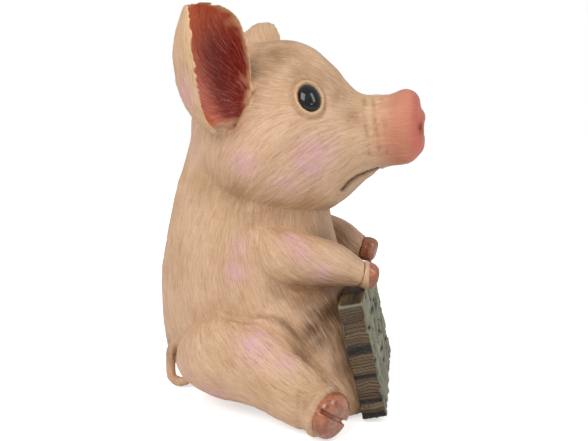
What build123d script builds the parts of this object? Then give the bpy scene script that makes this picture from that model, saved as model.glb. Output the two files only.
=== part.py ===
from build123d import *
import math
import os

# A seated piglet figurine that holds an upright wooden-look board, cast in resin in
# separate pieces that are glued together on tenons.
# The piglet faces -Y, +Z is up, and its own right-hand side is -X.
# The origin lies in the middle of the face that it rests on.

# Fits between the pieces
glue_gap = 0.2
slip_fit = 0.3
peg_length = 5.0
ring_points = 12
half_turn = 180.0

# Torso
torso_height = 150.0
torso_width = 106.0
torso_depth = 128.0
torso_centre_y = 2.0
torso_wall = 7.0
neck_tilt = 17.0
neck_front_y = -40.0
neck_front_z = 101.0
neck_centre_y = 3.0
neck_spigot_width = 44.0
neck_spigot_height = 9.0
neck_seat_depth = 16.0

# Closing plate and pad underneath
pad_thickness = 1.2
pad_inset = 3.0
plate_thickness = 5.0
plate_ledge = 3.0

# Head, measured from the middle of the skull
skull_width = 96.0
skull_height = 97.0
skull_depth = 97.0
snout_reach = 87.0
head_centre_y = -4.5
head_centre_z = 155.0
head_turn = 6.5
head_wall = 18.0
nostril_width = 5.0
nostril_height = 8.0
nostril_spacing = 14.0
nostril_depth = 10.0
nostril_drop = 1.5
mouth_gap = 1.4
mouth_bite = 3.0

# Eyes, measured from the middle of the skull
eye_width = 12.0
eye_height = 15.0
eye_out = 31.6
eye_forward = 28.6
eye_up = 15.3
eye_seat_gap = 0.1

# Ears, measured from the middle of the skull
ear_length = 64.8
ear_width = 35.0
ear_cup = 29.0
ear_rim = 3.0
ear_root_out = 45.0
ear_root_back = 12.0
ear_root_down = 1.0
ear_splay = 11.5
ear_sweep = 7.0
ear_facing = 60.0
left_ear_raise = 3.5
left_ear_back = 5.0

# Arms
arm_length = 57.0
arm_thickness = 27.0
shoulder_out = 41.0
shoulder_y = -4.0
shoulder_z = 89.5
wrist_out = 27.5
wrist_z = 74.8
left_arm_length = 52.5
left_wrist_out = 34.0
left_wrist_raise = 2.6
wrist_width = 14.6
arm_peg_width = 12.0

# Legs
leg_out = 72.0
leg_length = 80.5
haunch_width = 48.0
haunch_height = 52.0
haunch_y = 37.0
ankle_width = 23.0
ankle_z = 13.2
leg_peg_width = 16.0

# Hooves
front_hoof_length = 9.0
rear_hoof_length = 8.0
hoof_cleft = 2.0
front_cleft_turn = 90.0
rear_cleft_turn = -33.0

# Tail
tail_thickness = 5.6
tail_curl = 11.6
tail_out = 22.2
tail_y = 49.8
tail_z = 8.9
tail_root_z = 29.0
tail_root_reach = 9.0
tail_turn = 165.0

# Board
board_width = 108.0
board_height = 64.6
board_thickness = 13.0
board_lean = 13.0
board_front_y = -74.0
board_front_z = 3.1
board_corner = 5.0
plank_count = 4
plank_groove = 2.0
plank_step = 0.8
groove_turn = 45.0


# Outline helpers

# Right half of a round outline, from its front point to its back point, as shares of the
# half width and half depth, and of a seated base that is wide in front and narrow behind
round_half_shares = [(0, -1), (0.5, -0.866), (0.866, -0.5), (1, 0), (0.866, 0.5), (0.5, 0.866), (0, 1)]
pear_half_shares = [(0, -1), (0.8, -0.98), (1, -0.7), (0.84, -0.12), (0.68, 0.3), (0.42, 0.72), (0, 1)]


def mirrored_pairs(half):
    """Close a half outline with its mirror image."""
    return half + [(-across, along) for across, along in reversed(half[1:-1])]


def smooth_wire(plane, pairs):
    """A closed smooth outline through pairs of places on a plane."""
    places = [plane.from_local_coords((across, along, 0)) for across, along in pairs]
    return Wire([Edge.make_spline(places, periodic=True)])


def oval_pairs(half_across, half_up, low_share=0.0):
    """An oval that is wider below its middle by low_share."""
    pairs = []
    for step in range(ring_points):
        angle = math.tau * step / ring_points
        across = half_across * math.cos(angle) * (1 - low_share * math.sin(angle))
        pairs.append((across, half_up * math.sin(angle)))
    return pairs


def on_side(solid, side):
    """A piece of the right-hand side, or its mirror image for the left."""
    return solid if side == "right" else solid.mirror(Plane.YZ)


def largest(shape):
    """The main solid of a cut piece, without crumbs."""
    return max(shape.solids(), key=lambda solid: solid.volume)


def rod(start, direction, width, length):
    """A round rod from a place along a direction."""
    return Solid.make_cylinder(width / 2, length, Plane(origin=start, z_dir=direction))


# Torso

# height, front, back, half width and pear share at each level; front and back are shares
# of the torso's depth and the half width is a share of half its width
torso_level_shares = [
    (0.000, -0.500, 0.385, 1.00, 1.00),
    (0.045, -0.495, 0.447, 1.04, 1.00),
    (0.140, -0.470, 0.489, 1.04, 0.85),
    (0.260, -0.435, 0.500, 1.02, 0.60),
    (0.380, -0.394, 0.500, 0.97, 0.35),
    (0.500, -0.356, 0.484, 0.90, 0.15),
    (0.620, -0.321, 0.452, 0.83, 0.00),
    (0.740, -0.291, 0.422, 0.77, 0.00),
    (0.850, -0.262, 0.382, 0.71, 0.00),
    (0.950, -0.215, 0.345, 0.62, 0.00),
    (1.050, -0.150, 0.316, 0.50, 0.00),
]
cavity_levels = 7
plate_levels = 3


def torso_ring(row, inset=0.0):
    """The torso's outline at one level, drawn in by an inset."""
    level, front, back, width, pear = row
    half_width = width * torso_width / 2 - inset
    front_y = torso_centre_y + front * torso_depth + inset
    back_y = torso_centre_y + back * torso_depth - inset
    middle, half_depth = (front_y + back_y) / 2, (back_y - front_y) / 2
    half = []
    for plain, heavy in zip(round_half_shares, pear_half_shares):
        across = plain[0] + (heavy[0] - plain[0]) * pear
        along = plain[1] + (heavy[1] - plain[1]) * pear
        half.append((across * half_width, along * half_depth))
    plane = Plane(origin=(0, middle, pad_thickness + level * torso_height))
    return smooth_wire(plane, mirrored_pairs(half))


def torso_form(inset=0.0, levels=None):
    """The torso's smooth outer form, or its lower levels drawn in by a wall."""
    return Solid.make_loft([torso_ring(row, inset) for row in torso_level_shares[:levels]])


def neck_plane(lift=0.0):
    """The plane where the head is glued on, tilted up towards the nape."""
    tilt = math.radians(neck_tilt)
    rise = (neck_centre_y - neck_front_y) * math.tan(tilt)
    middle = Vector(0, neck_centre_y, neck_front_z + rise)
    normal = Vector(0, -math.sin(tilt), math.cos(tilt))
    return Plane(origin=middle + normal * lift, x_dir=(1, 0, 0), z_dir=normal)


def above(plane):
    """A block that fills everything above a plane."""
    span = torso_height + torso_depth
    return extrude(plane * Rectangle(span * 2, span * 2), span).solid()


def below_height(form, height):
    """The part of a form below a height."""
    return largest(form - above(Plane.XY.offset(height)))


def tenon(start, direction, width, host_inner):
    """A peg that runs from a place into its host and stops at the host's inner form."""
    return largest(rod(start, direction, width, torso_width / 2) - host_inner)


# Board

def board_plane(from_front=0.0):
    """The board's face, or a plane behind it; its origin is the middle of the lower edge."""
    lean = math.radians(board_lean)
    normal = Vector(0, -math.cos(lean), math.sin(lean))
    origin = Vector(0, board_front_y, board_front_z) - normal * from_front
    return Plane(origin=origin, x_dir=(1, 0, 0), z_dir=normal)


def board_block(grow=0.0):
    """The space that the board takes up, grown by a gap on every side."""
    face = board_plane(board_thickness + grow)
    outline = Pos(0, board_height / 2) * Rectangle(board_width + 2 * grow, board_height + 2 * grow)
    return extrude(face * outline, board_thickness + 2 * grow).solid()


def sign_board():
    """A thick board that looks like stacked planks, with grooves and stepped ends."""
    plank_height = board_height / plank_count
    back = board_plane(board_thickness)
    board = board_block()
    for index in range(1, plank_count, 2):
        middle = (index + 1 / 2) * plank_height
        for side in (-1, 1):
            end = Pos(side * board_width / 2, middle) * Rectangle(2 * plank_step, plank_height)
            board -= extrude(back * end, board_thickness)
    face = board_plane()
    for index in range(1, plank_count):
        seam = face.from_local_coords((0, index * plank_height, 0))
        notch = Plane(origin=seam, x_dir=(0, 1, 0), z_dir=(1, 0, 0))
        groove = Rot(0, 0, groove_turn + board_lean) * Rectangle(plank_groove, plank_groove)
        board -= extrude(notch * groove, board_width, both=True)
    corners = board.solid().edges().filter_by(is_board_corner)
    return board.solid().fillet(board_corner, corners)


def is_board_corner(edge):
    """Whether an edge runs through the board's thickness at one of its four corners."""
    local = board_plane().to_local_coords(edge.center())
    at_end = abs(local.X) > board_width / 2 - plank_step * 2
    at_rim = min(abs(local.Y), abs(local.Y - board_height)) < plank_step
    return at_end and at_rim and abs(edge.length - board_thickness) < slip_fit


# Head

# forward place, top, bottom, half width and jowl share of each section; forward is a share
# of half the skull's depth behind the middle and of the snout's reach before it, top and
# bottom are shares of half the skull's height, and the width of half the skull's width
skull_section_shares = [
    (-0.955, 0.300, -0.400, 0.300, 0.00),
    (-0.760, 0.650, -0.820, 0.670, 0.06),
    (-0.450, 0.890, -1.090, 0.900, 0.18),
    (-0.100, 0.990, -1.160, 0.985, 0.26),
]
snout_section_shares = [
    (0.105, 0.990, -1.110, 0.970, 0.29),
    (0.225, 0.930, -1.060, 0.925, 0.29),
    (0.330, 0.800, -1.010, 0.850, 0.27),
    (0.430, 0.620, -0.930, 0.740, 0.23),
    (0.520, 0.445, -0.800, 0.610, 0.19),
    (0.610, 0.365, -0.640, 0.495, 0.12),
    (0.700, 0.355, -0.510, 0.420, 0.06),
    (0.790, 0.375, -0.455, 0.396, 0.02),
    (0.850, 0.420, -0.440, 0.400, 0.00),
    (0.900, 0.400, -0.420, 0.385, 0.00),
    (0.935, 0.310, -0.380, 0.335, 0.00),
    (0.965, 0.200, -0.315, 0.260, 0.00),
    (0.985, 0.080, -0.230, 0.160, 0.00),
]
skull_cavity_sections = 8

# reach and drop of the mouth's front, middle and corner, as shares of the snout's reach and
# of half the skull's height
mouth_shares = [(0.709, 0.482), (0.602, 0.557), (0.510, 0.715)]


def head_place():
    """The skull's own frame: origin in its middle, turned a little to the right."""
    return Location((0, head_centre_y, head_centre_z), (0, 0, -head_turn))


def skull_form(inset=0.0, sections=None):
    """The skull and snout as one smooth form, facing -Y in the skull's own frame."""
    rows = [(share * skull_depth / 2, *rest) for share, *rest in skull_section_shares]
    rows += [(share * snout_reach, *rest) for share, *rest in snout_section_shares]
    wires = []
    for forward, top, bottom, width, jowl in rows[:sections]:
        top_z = top * skull_height / 2 - inset
        bottom_z = bottom * skull_height / 2 + inset
        plane = Plane(
            origin=(0, -forward, (top_z + bottom_z) / 2), x_dir=(1, 0, 0), z_dir=(0, -1, 0)
        )
        half_width = width * skull_width / 2 - inset
        wires.append(smooth_wire(plane, oval_pairs(half_width, (top_z - bottom_z) / 2, jowl)))
    return Solid.make_loft(wires)


def nostril_cuts():
    """Two oval blind holes in the snout's disc, cut from just before it."""
    cuts = []
    for side in (-1, 1):
        plane = Plane(
            origin=(side * nostril_spacing / 2, -snout_reach, -nostril_drop), x_dir=(1, 0, 0), z_dir=(0, 1, 0)
        )
        oval = plane * Ellipse(nostril_width / 2, nostril_height / 2)
        cuts.append(extrude(oval, nostril_depth).solid())
    return cuts


def mouth_cut():
    """The line of the mouth, bitten into the skin on both sides of the jaw."""
    side_view = Plane(origin=(0, 0, 0), x_dir=(0, -1, 0), z_dir=(-1, 0, 0))
    places = [(reach * snout_reach, -drop * skull_height / 2) for reach, drop in mouth_shares]
    slot = side_view * SlotArc(ThreePointArc(*places), mouth_gap)
    return extrude(slot, skull_width / 2, both=True).solid() - skull_form(mouth_bite)


def eye_form(side, gap=0.0):
    """An upright egg set in the side of the head, its seam turned inwards."""
    out = -eye_out if side == "right" else eye_out
    turn = 0 if side == "right" else half_turn
    outline = Ellipse(eye_width / 2 + gap, eye_height / 2 + gap)
    half = outline & Pos(eye_width / 2 + gap, 0) * Rectangle(eye_width + 2 * gap, eye_height * 2)
    egg = revolve(Plane.XZ * half, Axis.Z).solid()
    return Location((out, -eye_forward, eye_up), (0, 0, turn)) * egg


# Ears

# place along the ear, then front rim, rear rim and forward lean as shares of its width, and
# the outer and inner depth of the cup as shares of its depth
ear_section_shares = [
    (0.00, -0.20, 0.24, 0.02, 0.34, 0.06),
    (0.13, -0.34, 0.40, 0.06, 0.62, 0.40),
    (0.28, -0.46, 0.47, 0.12, 0.86, 0.72),
    (0.44, -0.50, 0.48, 0.16, 0.96, 0.85),
    (0.60, -0.50, 0.46, 0.17, 0.96, 0.85),
    (0.75, -0.49, 0.41, 0.15, 0.86, 0.75),
    (0.87, -0.42, 0.36, 0.11, 0.64, 0.53),
    (0.95, -0.24, 0.31, 0.06, 0.40, 0.30),
    (1.00, 0.00, 0.25, 0.02, 0.18, 0.11),
]


def ear_frame(shift):
    """The right ear's frame: Z runs from root to tip and X from front rim to rear rim."""
    splay, sweep, facing = math.radians(ear_splay), math.radians(ear_sweep), math.radians(ear_facing)
    along = Vector(-math.sin(splay), math.sin(sweep), math.cos(splay)).normalized()
    across = Vector(-math.sin(facing), math.cos(facing), 0)
    across = (across - along * across.dot(along)).normalized()
    root = Vector(-ear_root_out, ear_root_back, -ear_root_down) + shift
    return Plane(origin=root, x_dir=across, z_dir=along)


def ear_rows(shift):
    """The plane, rims, lean and cup depths of each section of a right ear."""
    rows = []
    for along, front, rear, lean, outer, inner in ear_section_shares:
        plane = ear_frame(shift).offset(along * ear_length)
        rims = (front * ear_width, rear * ear_width)
        rows.append((plane, rims, lean * ear_width, outer * ear_cup, inner * ear_cup))
    return rows


def ear_edges(plane, places):
    """An arc through three places on a plane and the line that closes it."""
    start, middle, end = [plane.from_local_coords((x, y, 0)) for x, y in places]
    return start, end, Edge.make_three_point_arc(start, middle, end)


def ear_form(shift):
    """The right ear: a cupped leaf lofted through crescent sections."""
    wires = []
    for plane, (front, rear), lean, outer_cup, inner_cup in ear_rows(shift):
        middle, rim = (front + rear) / 2, ear_rim / 2
        outer = [(front - rim, lean), (middle, lean - outer_cup), (rear + rim, lean)]
        inner = [(rear, lean + rim), (middle, lean - inner_cup), (front, lean + rim)]
        first, second, outer_arc = ear_edges(plane, outer)
        third, fourth, inner_arc = ear_edges(plane, inner)
        rear_rim, front_rim = Edge.make_line(second, third), Edge.make_line(fourth, first)
        wires.append(Wire([outer_arc, rear_rim, inner_arc, front_rim]))
    return Solid.make_loft(wires)


def ear_pocket(shift):
    """The pocket in the skull that the right ear sits in, open on the hollow side."""
    wires = []
    for plane, (front, rear), lean, outer_cup, _ in ear_rows(shift):
        rim, lip = ear_rim / 2 + glue_gap, lean + ear_rim
        outer = [(front - rim, lip), ((front + rear) / 2, lean - outer_cup - glue_gap), (rear + rim, lip)]
        start, end, arc = ear_edges(plane, outer)
        wires.append(Wire([arc, Edge.make_line(end, start)]))
    return Solid.make_loft(wires)


# Arms

# place along the arm, then outward and downward shift and thickness as shares of its thickness
arm_section_shares = [
    (-0.20, -0.42, 0.00, 0.80),
    (0.05, -0.16, 0.00, 1.04),
    (0.25, -0.02, 0.02, 1.08),
    (0.45, 0.00, -0.01, 1.05),
    (0.63, 0.00, -0.04, 0.96),
    (0.80, 0.00, -0.05, 0.79),
    (0.92, 0.00, -0.02, 0.62),
]
arm_peg_share = 0.3


def arm_line(side):
    """Shoulder and hoof seat of an arm, both given on the right-hand side."""
    length, out, height = arm_length, wrist_out, wrist_z
    if side == "left":
        length, out, height = left_arm_length, left_wrist_out, wrist_z + left_wrist_raise
    shoulder = Vector(-shoulder_out, shoulder_y, shoulder_z)
    reach = math.sqrt(length**2 - (shoulder_out - out) ** 2 - (shoulder_z - height) ** 2)
    return shoulder, Vector(-out, shoulder_y - reach, height)


def arm_plane(side, place):
    """The plane square to an arm at a share of its length."""
    shoulder, wrist = arm_line(side)
    run = (wrist - shoulder).normalized()
    return Plane(origin=shoulder + (wrist - shoulder) * place, x_dir=run.cross(Vector(0, 0, 1)), z_dir=run)


def arm_form(side):
    """An arm from inside the shoulder to the hoof's seat."""
    wires = []
    for place, outward, downward, thick in arm_section_shares:
        radius = thick * arm_thickness / 2
        shift_x, shift_y = outward * arm_thickness, downward * arm_thickness
        pairs = [(x + shift_x, y + shift_y) for x, y in oval_pairs(radius, radius)]
        wires.append(smooth_wire(arm_plane(side, place), pairs))
    wires.append(smooth_wire(arm_plane(side, 1), oval_pairs(wrist_width / 2, wrist_width / 2)))
    return Solid.make_loft(wires)


# Legs

# out, along and up places and the half sizes of each section of the right leg; out is a
# share of the leg's outreach, along runs forward from the haunch, up is a share of the
# haunch's height, and the half sizes are shares of half the haunch's width and height
leg_section_shares = [
    (0.472, 0.00, 0.577, 0.54),
    (0.556, 0.154, 0.570, 0.85),
    (0.611, 0.333, 0.570, 0.94),
    (0.667, 0.490, 0.540, 0.90),
    (0.764, 0.655, 0.462, 0.79),
    (0.861, 0.805, 0.345, 0.66),
    (0.930, 0.905, 0.285, 0.56),
]
leg_peg_row = 2


def leg_rows():
    """Place and half sizes of each section of the right leg, the hoof's seat last."""
    rows = []
    for out, along, up, half in leg_section_shares:
        place = Vector(-out * leg_out, haunch_y - along * leg_length, up * haunch_height)
        rows.append((place, half * haunch_width / 2, half * haunch_height / 2))
    seat = Vector(-leg_out, haunch_y - leg_length, ankle_z)
    rows.append((seat, ankle_width / 2, ankle_width / 2))
    return rows


def leg_plane(index):
    """The plane square to the leg's run at one of its sections."""
    places = [row[0] for row in leg_rows()]
    before = places[max(index - 1, 0)]
    after = places[min(index + 1, len(places) - 1)]
    run = (after - before).normalized()
    return Plane(origin=places[index], x_dir=run.cross(Vector(0, 0, 1)), z_dir=run)


def leg_form():
    """The right haunch and shin, from the rump to the hoof's seat."""
    wires = []
    for index, (_, half_across, half_up) in enumerate(leg_rows()):
        wires.append(smooth_wire(leg_plane(index), oval_pairs(half_across, half_up)))
    return Solid.make_loft(wires)


# Limb tenons

def inward(place):
    """The level direction from a place towards the torso's middle."""
    return Vector(-place.X, torso_centre_y - place.Y, 0).normalized()


def limb_tenon(peg_place, peg_width, torso_inner):
    """The peg of a limb in the torso's wall, and the socket that it slides into."""
    peg = tenon(peg_place, inward(peg_place), peg_width, torso_inner)
    socket = tenon(peg_place, inward(peg_place), peg_width + slip_fit, torso_inner)
    return peg, socket


# Hooves

# place along the hoof and width, as shares of the hoof's length and its seat's width
hoof_section_shares = [(0.0, 1.0), (0.35, 1.06), (0.7, 1.0), (0.92, 0.84), (1.0, 0.64)]
hoof_cleft_share = 0.3
hoof_peg_share = 0.45


def hoof_form(plane, width, length, cleft_turn):
    """A cloven hoof on a plane, with a peg behind it and its cleft turned about its run."""
    wires = []
    for along, share in hoof_section_shares:
        radius = share * width / 2
        wires.append(smooth_wire(plane.offset(along * length + glue_gap), oval_pairs(radius, radius)))
    cleft = Rot(0, 0, cleft_turn) * Rectangle(width * 2, hoof_cleft)
    slot = extrude(plane.offset(length * hoof_cleft_share) * cleft, length).solid()
    hoof = (Solid.make_loft(wires) - slot).solid()
    peg = Solid.make_cylinder(width * hoof_peg_share / 2, peg_length + glue_gap, plane.offset(-peg_length))
    return hoof + peg


def hoof_socket(plane, width):
    """The socket in a limb's end that a hoof's peg slides into."""
    depth = peg_length + slip_fit
    return Solid.make_cylinder((width * hoof_peg_share + slip_fit) / 2, depth, plane.offset(-depth))


# Tail

def tail_form(grow=0.0):
    """A tail that leaves the back's wall in a bend and curls forward under itself."""
    radius = tail_curl / 2
    side_view = Plane(origin=(-tail_out, 0, 0), x_dir=(0, 1, 0), z_dir=(1, 0, 0))
    turn = math.radians(tail_turn)
    half = turn / 2
    start = (tail_y + radius, tail_z)
    bend = (tail_y + radius, tail_root_z - tail_root_reach)
    root = (tail_y + radius - tail_root_reach, tail_root_z)
    bent = tail_root_reach * (1 - math.cos(math.pi / 4))
    corner = (tail_y + radius - bent, tail_root_z - bent)
    middle = (tail_y + radius * math.cos(half), tail_z - radius * math.sin(half))
    end = (tail_y + radius * math.cos(turn), tail_z - radius * math.sin(turn))
    lines = [ThreePointArc(root, corner, bend), Line(bend, start), ThreePointArc(start, middle, end)]
    path = Wire((side_view * (Curve() + lines)).edges())
    section = Plane(origin=path @ 0, z_dir=path % 0) * Circle(tail_thickness / 2 + grow)
    return sweep(section, path=path).solid()


# Build

os.makedirs("parts", exist_ok=True)
parts = {}

torso_whole = torso_form()
torso_outer = torso_form(-glue_gap)
torso_inner = torso_form(peg_length)
skull_whole = skull_form()
skull_outer = skull_form(-glue_gap)
board_space = board_block(glue_gap)
board_front = above(board_plane(board_thickness + glue_gap))
neck_root = neck_plane(-neck_seat_depth)
neck_length = neck_seat_depth + neck_spigot_height

# Head: the skull and the nape in one casting, hollow, with seats for eyes, ears and neck
skull = skull_whole - skull_form(head_wall, skull_cavity_sections) - mouth_cut()
for cut in nostril_cuts():
    skull -= cut
ear_shifts = {"right": Vector(0, 0, 0), "left": Vector(0, left_ear_back, left_ear_raise)}
for side, shift in ear_shifts.items():
    skull = skull - on_side(ear_pocket(shift), side) - eye_form(side, eye_seat_gap)
    parts[f"ear_{side}"] = head_place() * on_side(ear_form(shift), side)
    parts[f"eye_{side}"] = head_place() * eye_form(side)
nape = largest(torso_whole & above(neck_plane()))
neck_hole = rod(neck_root.origin, neck_root.z_dir, neck_spigot_width + slip_fit, neck_length + slip_fit)
parts["head"] = largest(largest(head_place() * skull + nape) - neck_hole)

# Torso: a shell with a spigot for the head, flat where the board is glued on
torso = largest(torso_whole - above(neck_plane(-glue_gap)) - (head_place() * skull_outer))
torso -= torso_form(torso_wall + plate_ledge, cavity_levels)
torso -= below_height(torso_form(torso_wall, plate_levels), pad_thickness + plate_thickness)
torso += rod(neck_root.origin, neck_root.z_dir, neck_spigot_width, neck_length)
torso -= board_front
torso -= tail_form(slip_fit / 2)

# Arms and legs with their hooves
leg_peg, leg_socket = limb_tenon(leg_plane(leg_peg_row).origin, leg_peg_width, torso_inner)
leg_seat = leg_plane(len(leg_section_shares))
leg_hoof = hoof_form(leg_seat, ankle_width, rear_hoof_length, rear_cleft_turn)
for side in ("right", "left"):
    wrist = arm_plane(side, 1)
    arm_peg, arm_socket = limb_tenon(arm_plane(side, arm_peg_share).origin, arm_peg_width, torso_inner)
    arm_hoof = hoof_form(wrist, wrist_width, front_hoof_length, front_cleft_turn)
    arm = largest(on_side(arm_form(side), side) - torso_outer) + on_side(arm_peg, side)
    parts[f"arm_{side}"] = largest(arm - on_side(hoof_socket(wrist, wrist_width), side) - board_space)
    parts[f"hoof_front_{side}"] = largest(on_side(arm_hoof, side) - board_space)
    leg = largest(on_side(leg_form(), side) - torso_outer) + on_side(leg_peg, side)
    parts[f"leg_{side}"] = largest(leg - on_side(hoof_socket(leg_seat, ankle_width), side))
    parts[f"hoof_rear_{side}"] = on_side(leg_hoof, side)
    torso = torso - on_side(arm_socket, side) - on_side(leg_socket, side)
parts["torso"] = largest(torso)

# Tail and board
parts["tail"] = tail_form()
parts["sign_board"] = sign_board()

# Closing plate and pad
plate_form = torso_form(torso_wall + glue_gap, plate_levels)
plate = below_height(plate_form, pad_thickness + plate_thickness - glue_gap)
parts["closing_plate"] = largest(plate - board_front)
pad_face = Face(torso_ring(torso_level_shares[0], pad_inset))
parts["felt_pad"] = largest(extrude(pad_face, pad_thickness, dir=(0, 0, -1)) - board_front)

for name, piece in parts.items():
    export_step(piece, f"parts/{name}.step")
    print(name, round(piece.volume), len(piece.solids()), piece.is_valid)
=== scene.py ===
# %% [markdown]
# # A seated piglet that holds a plank board
# The real object is a resin casting about 22 cm tall: a piglet with carved hair strokes and
# airbrushed colour, cupped ears, glossy hooves and black bead eyes, behind a thick
# board that looks like weathered wood. The measured solids are loaded first and stay as the
# frame. Each piece below is built over its solid, so that sizes and places never change.

# %% Load the measured solids
import math

import bmesh
import bpy
import numpy as np
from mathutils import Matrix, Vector
from mathutils.bvhtree import BVHTree


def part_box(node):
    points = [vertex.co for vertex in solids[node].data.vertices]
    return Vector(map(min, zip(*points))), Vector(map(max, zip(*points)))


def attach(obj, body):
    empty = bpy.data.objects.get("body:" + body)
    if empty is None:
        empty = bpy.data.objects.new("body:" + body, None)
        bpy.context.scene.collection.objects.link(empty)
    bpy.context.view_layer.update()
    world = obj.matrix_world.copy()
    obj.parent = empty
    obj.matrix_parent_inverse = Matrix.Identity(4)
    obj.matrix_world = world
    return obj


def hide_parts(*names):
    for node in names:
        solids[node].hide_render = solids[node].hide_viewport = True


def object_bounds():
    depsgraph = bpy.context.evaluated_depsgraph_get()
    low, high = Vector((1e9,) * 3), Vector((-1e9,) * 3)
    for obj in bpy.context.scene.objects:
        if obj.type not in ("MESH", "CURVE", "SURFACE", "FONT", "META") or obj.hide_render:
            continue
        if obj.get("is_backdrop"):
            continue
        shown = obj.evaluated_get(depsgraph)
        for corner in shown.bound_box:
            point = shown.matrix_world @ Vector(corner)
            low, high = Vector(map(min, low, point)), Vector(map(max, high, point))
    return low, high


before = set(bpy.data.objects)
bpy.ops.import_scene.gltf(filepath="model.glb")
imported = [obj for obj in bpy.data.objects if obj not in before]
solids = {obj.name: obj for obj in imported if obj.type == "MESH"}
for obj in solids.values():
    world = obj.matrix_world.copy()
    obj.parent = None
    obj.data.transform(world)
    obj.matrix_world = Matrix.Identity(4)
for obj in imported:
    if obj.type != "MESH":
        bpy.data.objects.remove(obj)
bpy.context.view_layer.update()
scene = bpy.context.scene

MM = 0.001


def placed(name, data):
    """A new object in the scene."""
    item = bpy.data.objects.new(name, data)
    scene.collection.objects.link(item)
    return item


# %% [markdown]
# ## Camera
# The photograph was taken from close by, a little above the board and to the piglet's
# right. A lens of about 42 mm on a full-frame sensor gives the same strong perspective.

# %% Camera
camera_place = (-0.39408, -0.07827, 0.164)
camera_turn, camera_dip = math.radians(9.021), math.radians(9.230)
photo_width, photo_focal = 588, 680  # pixels
forward = Vector((
    math.cos(camera_turn) * math.cos(camera_dip),
    math.sin(camera_turn) * math.cos(camera_dip),
    -math.sin(camera_dip),
))
camera_data = bpy.data.cameras.new("photo_camera")
camera_data.sensor_width = 36.0
camera_data.lens = photo_focal / photo_width * camera_data.sensor_width
camera_data.clip_start = 0.01
camera = placed("photo_camera", camera_data)
camera.location = camera_place
camera.rotation_euler = forward.to_track_quat("-Z", "Y").to_euler()
scene.camera = camera
scene.view_settings.view_transform = "Standard"
print("camera lens:", round(camera_data.lens, 2), "mm")

# %% [markdown]
# ## Node helpers
# Materials are built from nodes. Small helpers keep each material short: one adds a node
# and fills its inputs, and the others mix colours, calculate, read a mask of the mesh, or
# make a cloudy pattern or a bump. The last one hands a finished piece over to the frame.


# %% Node helpers
def srgb(red, green, blue):
    """A colour written as it looks on a screen, 0 to 255, as the linear colour Blender uses."""
    shares = [channel / 255 for channel in (red, green, blue)]
    linear = [s / 12.92 if s <= 0.04045 else ((s + 0.055) / 1.055) ** 2.4 for s in shares]
    return (*linear, 1.0)


def add(tree, kind, inputs=None, **settings):
    """A new node with its settings, and its inputs linked or filled by name or number."""
    node = tree.nodes.new(kind)
    for name, value in settings.items():
        setattr(node, name, value)
    for name, value in (inputs or {}).items():
        if isinstance(value, bpy.types.NodeSocket):
            tree.links.new(value, node.inputs[name])
        else:
            node.inputs[name].default_value = value
    return node


def mixed(tree, share, first, second, mode="MIX"):
    """Two colours mixed by a share."""
    node = add(tree, "ShaderNodeMix", {0: share, 6: first, 7: second}, data_type="RGBA", blend_type=mode)
    return node.outputs[2]


def sums(tree, operation, first, second, clamp=False):
    """One calculation on two values."""
    node = add(tree, "ShaderNodeMath", {0: first, 1: second}, operation=operation, use_clamp=clamp)
    return node.outputs[0]


def between(tree, value, low, high, start=0.0, end=1.0):
    """A value spread smoothly from low..high to start..end."""
    inputs = {"Value": value, "From Min": low, "From Max": high, "To Min": start, "To Max": end}
    node = add(tree, "ShaderNodeMapRange", inputs, interpolation_type="SMOOTHSTEP")
    return node.outputs["Result"]


def attribute(tree, name):
    """A number that the mesh stores for each of its points."""
    return add(tree, "ShaderNodeAttribute", attribute_name=name).outputs["Fac"]


def noise(tree, scale, detail=2.0, rough=0.5, place=None):
    """A cloudy pattern, about 0 to 1, on the object's own coordinates."""
    if place is None:
        place = add(tree, "ShaderNodeTexCoord").outputs["Object"]
    inputs = {"Vector": place, "Scale": scale, "Detail": detail, "Roughness": rough}
    return add(tree, "ShaderNodeTexNoise", inputs, noise_dimensions="3D").outputs["Fac"]


def times(tree, first, second, clamp=False):
    """Two values multiplied."""
    return sums(tree, "MULTIPLY", first, second, clamp)


def painted(tree, colour, *layers):
    """A colour with paints laid over it one after the other, each by a mask of the mesh."""
    for zone, paint in layers:
        colour = mixed(tree, attribute(tree, zone), colour, paint)
    return colour


def emptied(holder):
    """The tree of nodes of a material or a world, with nothing in it."""
    holder.use_nodes = True
    holder.node_tree.nodes.clear()
    return holder.node_tree


def new_material(name, settings):
    """A material whose Principled shader has some plain settings; the caller links the rest."""
    material = bpy.data.materials.new(name)
    tree = emptied(material)
    shader = add(tree, "ShaderNodeBsdfPrincipled", settings)
    add(tree, "ShaderNodeOutputMaterial", {0: shader.outputs[0]})
    return material, tree, shader


def uneven(tree, shader, cloud, least, most):
    """Let a cloudy pattern vary how rough a surface is."""
    tree.links.new(between(tree, cloud, 0.3, 0.7, least, most), shader.inputs["Roughness"])


def bumped(tree, shader, height, strength, distance=0.0003):
    """Let a pattern shade a surface as if it rose by up to a distance in metres."""
    bump = add(tree, "ShaderNodeBump", {"Strength": strength, "Distance": distance, "Height": height})
    tree.links.new(bump.outputs[0], shader.inputs["Normal"])


def dressed(piece, material, node):
    """A piece with its paint, hung on the root body, with the solid that it replaces hidden."""
    piece.data.materials.append(material)
    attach(piece, "root")
    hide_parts(node)
    print(piece.name, len(piece.data.polygons), "faces")


# %% [markdown]
# ## Floor, backdrop and light
# A plain pale floor catches the figurine's soft shadow, and the world is white where the
# camera looks at it. Two soft lamps, a small lamp for the glints and an even sky light the
# piece at a plain level, so that a paint renders about as it is written.

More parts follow.
